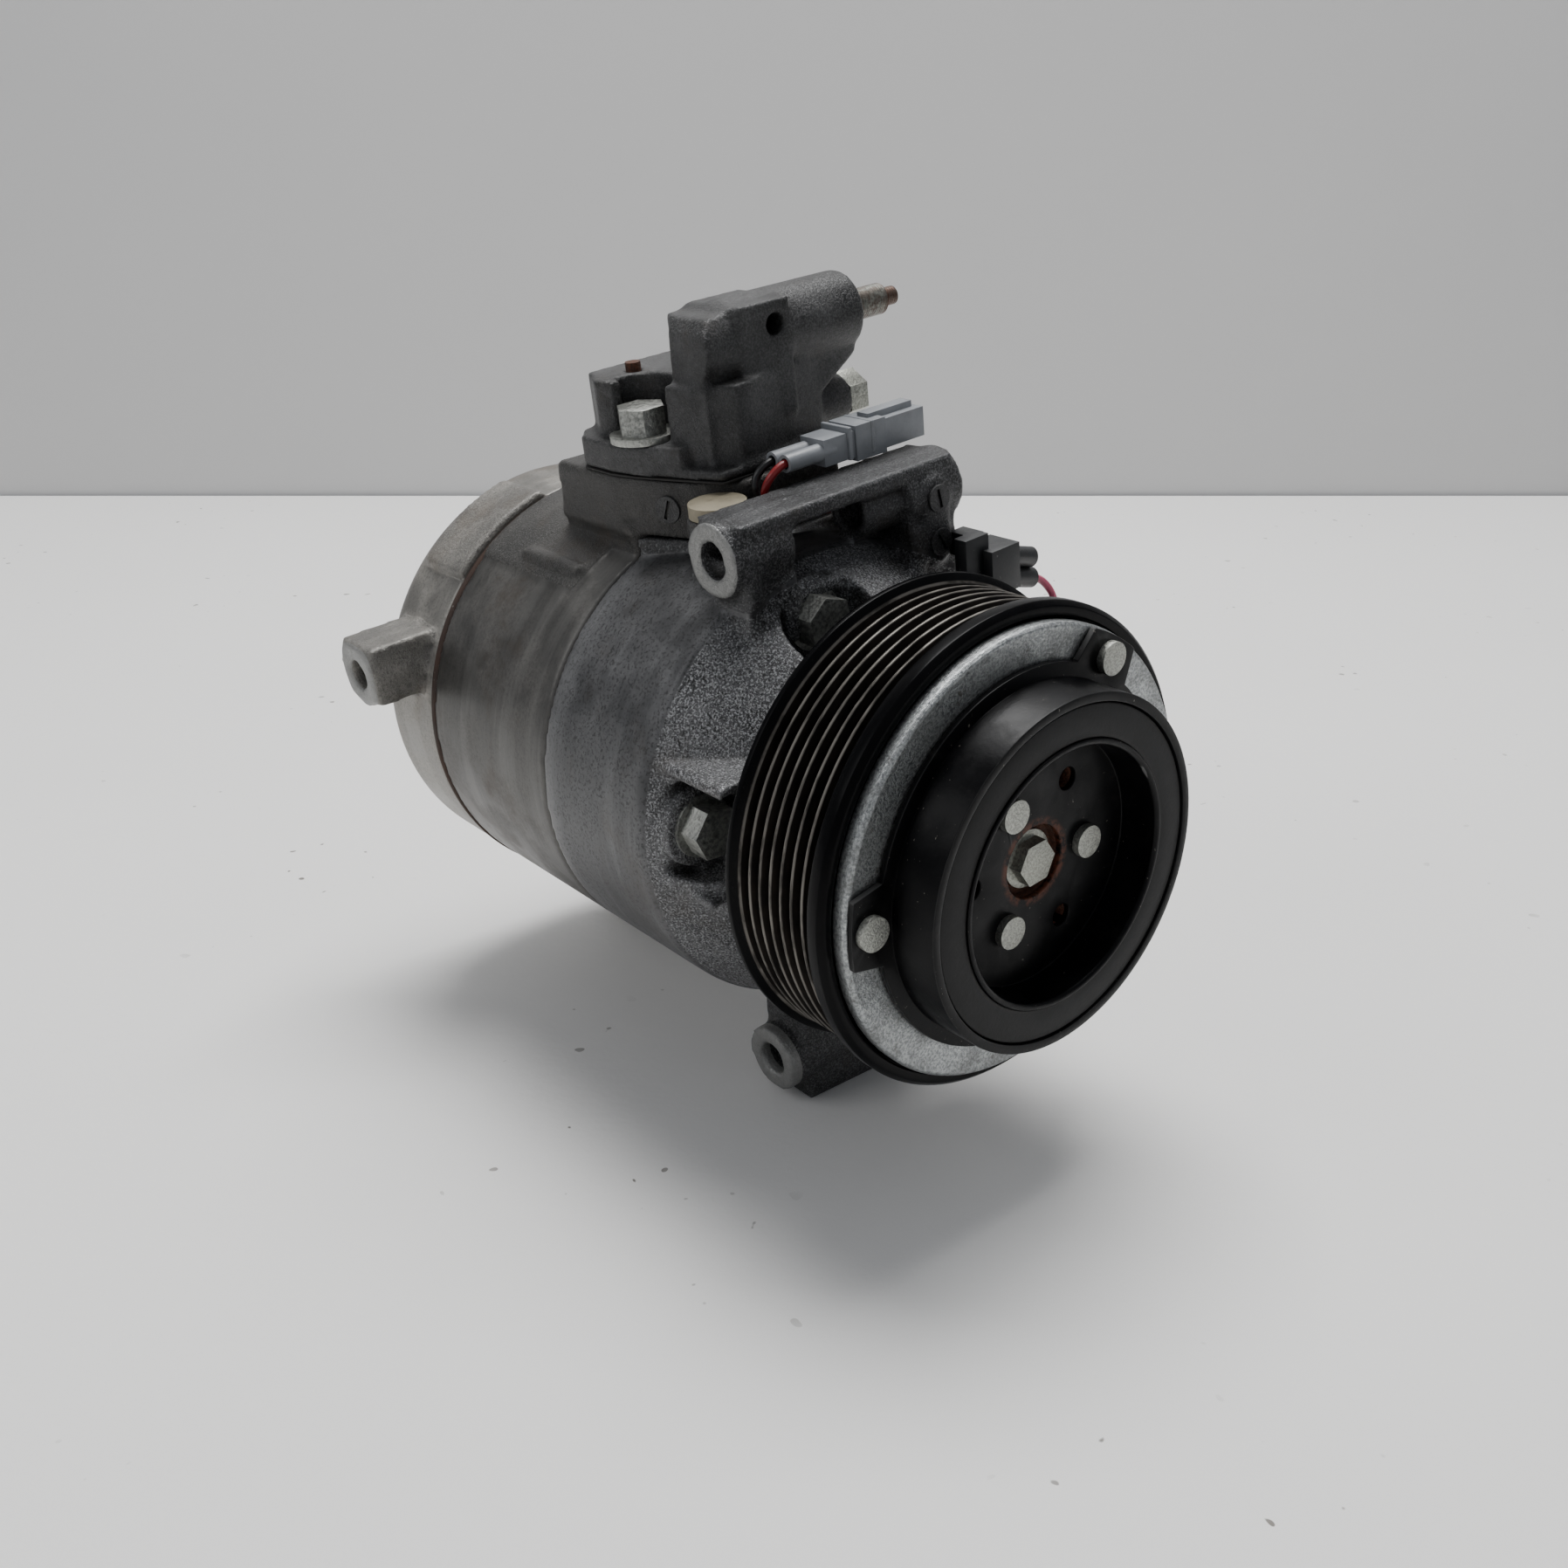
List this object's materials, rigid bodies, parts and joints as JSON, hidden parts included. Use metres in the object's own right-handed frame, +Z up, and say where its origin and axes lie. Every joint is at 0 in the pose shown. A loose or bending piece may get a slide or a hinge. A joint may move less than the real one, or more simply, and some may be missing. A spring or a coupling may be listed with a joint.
{
  "type": "electromagnetic clutch pump unit",
  "caption": "Belt-driven refrigerant pump with an electromagnetic clutch: grooved pulley, damped hub, cast housings, mounting ears, pipe manifold and wired connectors.",
  "frame": {"origin": "centre of the overall box in plan, on the surface the lower ears stand on", "axes": "+Y runs back along the shaft, away from the clutch; +X to the right seen from the clutch end; +Z up"},
  "size_m": [0.1387, 0.2106, 0.2093],
  "materials": {
    "front_cast": "sand-cast skin with machined faces",
    "block_turned": "turned outside, cast pad",
    "rear_cast": "cast with a turned rim",
    "manifold_cast": "cast, stained",
    "gasket_dark": "pressed gasket",
    "gasket_brown": "pressed gasket, stained brown",
    "bolt_zinc": "zinc plated, dulled",
    "rivet_zinc": "zinc plated, speckled",
    "stud_steel": "turned, lightly rusted at the tip",
    "pin_rusty": "rusted pin",
    "valve_steel": "plated",
    "plug_tan": "moulded cap",
    "seal_rubber": "moulded",
    "plate_steel": "ground",
    "spring_steel": "spring steel",
    "bearing_steel": "ground",
    "coil_paint": "painted can",
    "copper_wire": "enamelled copper",
    "pulley_black": "black coat, ridges rubbed bright",
    "hub_black": "satin black coat, dusty",
    "hub_rusty": "bare steel, rusted",
    "shaft_steel": "ground",
    "damper_rubber": "bonded rubber ring",
    "armature_steel": "ground, faintly rusted",
    "lug_iron": "machined iron",
    "piston_alloy": "turned",
    "sensor_pale": "moulded head",
    "connector_grey": "moulded",
    "connector_black": "moulded",
    "wire_black": "insulated lead",
    "wire_red": "insulated lead",
    "wire_pink": "insulated lead"
  },
  "bodies": {
    "housing": {"front_housing": "front_cast", "cylinder_block": "block_turned", "rear_housing": "rear_cast", "manifold_block": "manifold_cast", "manifold_gasket": "gasket_dark", "manifold_bolt": "bolt_zinc", "pipe_stud": "stud_steel", "locating_pin": "pin_rusty", "relief_valve": "valve_steel", "filler_plug": "plug_tan", "body_o_ring": "seal_rubber", "rear_gasket": "gasket_brown", "valve_plate": "plate_steel", "discharge_reeds": "spring_steel", "through_bolts": "bolt_zinc", "control_valve": "valve_steel", "needle_bearings": "bearing_steel", "thrust_bearings": "bearing_steel", "shaft_seal": "seal_rubber", "seal_snap_ring": "spring_steel", "coil_case": "coil_paint", "coil_winding": "copper_wire", "coil_snap_ring": "spring_steel", "bearing_inner_ring": "bearing_steel", "bearing_balls": "bearing_steel", "bearing_snap_ring": "spring_steel", "speed_sensor": "sensor_pale", "sensor_connector": "connector_grey", "sensor_wire_black": "wire_black", "sensor_wire_red": "wire_red", "coil_connector": "connector_black", "coil_wire": "wire_pink"},
    "pulley_wheel": {"pulley": "pulley_black", "bearing_outer_ring": "bearing_steel", "bearing_shields": "seal_rubber"},
    "drive_shaft": {"shaft": "shaft_steel", "hub_boss": "hub_rusty", "hub_plate": "hub_black", "inner_rivets": "rivet_zinc", "damper_rubber": "damper_rubber", "centre_bolt": "bolt_zinc", "shim_washers": "plate_steel", "lug_plate": "lug_iron", "link_arm": "lug_iron"},
    "armature": {"armature_plate": "armature_steel", "drive_plate": "hub_black", "outer_rivets": "rivet_zinc"},
    "swash_tilter": {"tilt_sleeve": "lug_iron"},
    "swash": {"swash_plate": "lug_iron"},
    "piston_body_1": {"piston_1": "piston_alloy"},
    "shoe_pair_1": {"shoes_1": "bearing_steel"},
    "piston_body_2": {"piston_2": "piston_alloy"},
    "shoe_pair_2": {"shoes_2": "bearing_steel"},
    "piston_body_3": {"piston_3": "piston_alloy"},
    "shoe_pair_3": {"shoes_3": "bearing_steel"},
    "piston_body_4": {"piston_4": "piston_alloy"},
    "shoe_pair_4": {"shoes_4": "bearing_steel"},
    "piston_body_5": {"piston_5": "piston_alloy"},
    "shoe_pair_5": {"shoes_5": "bearing_steel"}
  },
  "joints": [
    {"name": "pulley_spin", "type": "hinge", "parent": "housing", "child": "pulley_wheel", "pos_m": [0.00825, -0.07167, 0.088], "axis": [0, 1, 0], "continuous": true},
    {"name": "shaft_spin", "type": "hinge", "parent": "housing", "child": "drive_shaft", "pos_m": [0.00825, -0.02167, 0.088], "axis": [0, 1, 0], "continuous": true},
    {"name": "clutch_close", "type": "slide", "parent": "drive_shaft", "child": "armature", "axis": [0, 1, 0], "range_m": [0, 0.00049], "stiffness_N_per_m": 60000, "springref_m": -0.0002},
    {"name": "swash_tilt", "type": "hinge", "parent": "housing", "child": "swash_tilter", "pos_m": [0.00825, -0.0007, 0.088], "axis": [0.9921, 0, 0.1253], "range_deg": [0, 18]},
    {"name": "swash_spin", "type": "hinge", "parent": "swash_tilter", "child": "swash", "pos_m": [0.00825, -0.0007, 0.088], "axis": [0, 1, 0], "continuous": true},
    {"name": "piston_stroke_1", "type": "slide", "parent": "housing", "child": "piston_body_1", "axis": [0, 1, 0], "range_m": [-0.00805, 0.0001]},
    {"name": "shoe_swivel_1", "type": "hinge", "parent": "piston_body_1", "child": "shoe_pair_1", "pos_m": [-0.0194, -0.0007, 0.10945], "axis": [0.9921, 0, 0.1253], "range_deg": [-0.5, 18.5]},
    {"name": "piston_stroke_2", "type": "slide", "parent": "housing", "child": "piston_body_2", "axis": [0, 1, 0], "range_m": [-0.0001, 0.00517]},
    {"name": "shoe_swivel_2", "type": "hinge", "parent": "piston_body_2", "child": "shoe_pair_2", "pos_m": [-0.0207, -0.0007, 0.06833], "axis": [0.9921, 0, 0.1253], "range_deg": [-0.5, 18.5]},
    {"name": "piston_stroke_3", "type": "slide", "parent": "housing", "child": "piston_body_3", "axis": [0, 1, 0], "range_m": [-0.0001, 0.01124]},
    {"name": "shoe_swivel_3", "type": "hinge", "parent": "piston_body_3", "child": "shoe_pair_3", "pos_m": [0.01802, -0.0007, 0.05439], "axis": [0.9921, 0, 0.1253], "range_deg": [-0.5, 18.5]},
    {"name": "piston_stroke_4", "type": "slide", "parent": "housing", "child": "piston_body_4", "axis": [0, 1, 0], "range_m": [-0.0001, 0.00178]},
    {"name": "shoe_swivel_4", "type": "hinge", "parent": "piston_body_4", "child": "shoe_pair_4", "pos_m": [0.04323, -0.0007, 0.0869], "axis": [0.9921, 0, 0.1253], "range_deg": [-0.5, 18.5]},
    {"name": "piston_stroke_5", "type": "slide", "parent": "housing", "child": "piston_body_5", "axis": [0, 1, 0], "range_m": [-0.01014, 0.0001]},
    {"name": "shoe_swivel_5", "type": "hinge", "parent": "piston_body_5", "child": "shoe_pair_5", "pos_m": [0.02011, -0.0007, 0.12093], "axis": [0.9921, 0, 0.1253], "range_deg": [-0.5, 18.5]}
  ],
  "couplings": [
    {"joint": "swash_spin", "follows": "shaft_spin", "ratio": 1},
    {"joint": "piston_stroke_1", "follows": "swash_tilt", "m_per_rad": -0.025596},
    {"joint": "shoe_swivel_1", "follows": "swash_tilt", "ratio": 1},
    {"joint": "piston_stroke_2", "follows": "swash_tilt", "m_per_rad": 0.016434},
    {"joint": "shoe_swivel_2", "follows": "swash_tilt", "ratio": 1},
    {"joint": "piston_stroke_3", "follows": "swash_tilt", "m_per_rad": 0.035753},
    {"joint": "shoe_swivel_3", "follows": "swash_tilt", "ratio": 1},
    {"joint": "piston_stroke_4", "follows": "swash_tilt", "m_per_rad": 0.0056627},
    {"joint": "shoe_swivel_4", "follows": "swash_tilt", "ratio": 1},
    {"joint": "piston_stroke_5", "follows": "swash_tilt", "m_per_rad": -0.032253},
    {"joint": "shoe_swivel_5", "follows": "swash_tilt", "ratio": 1}
  ]
}
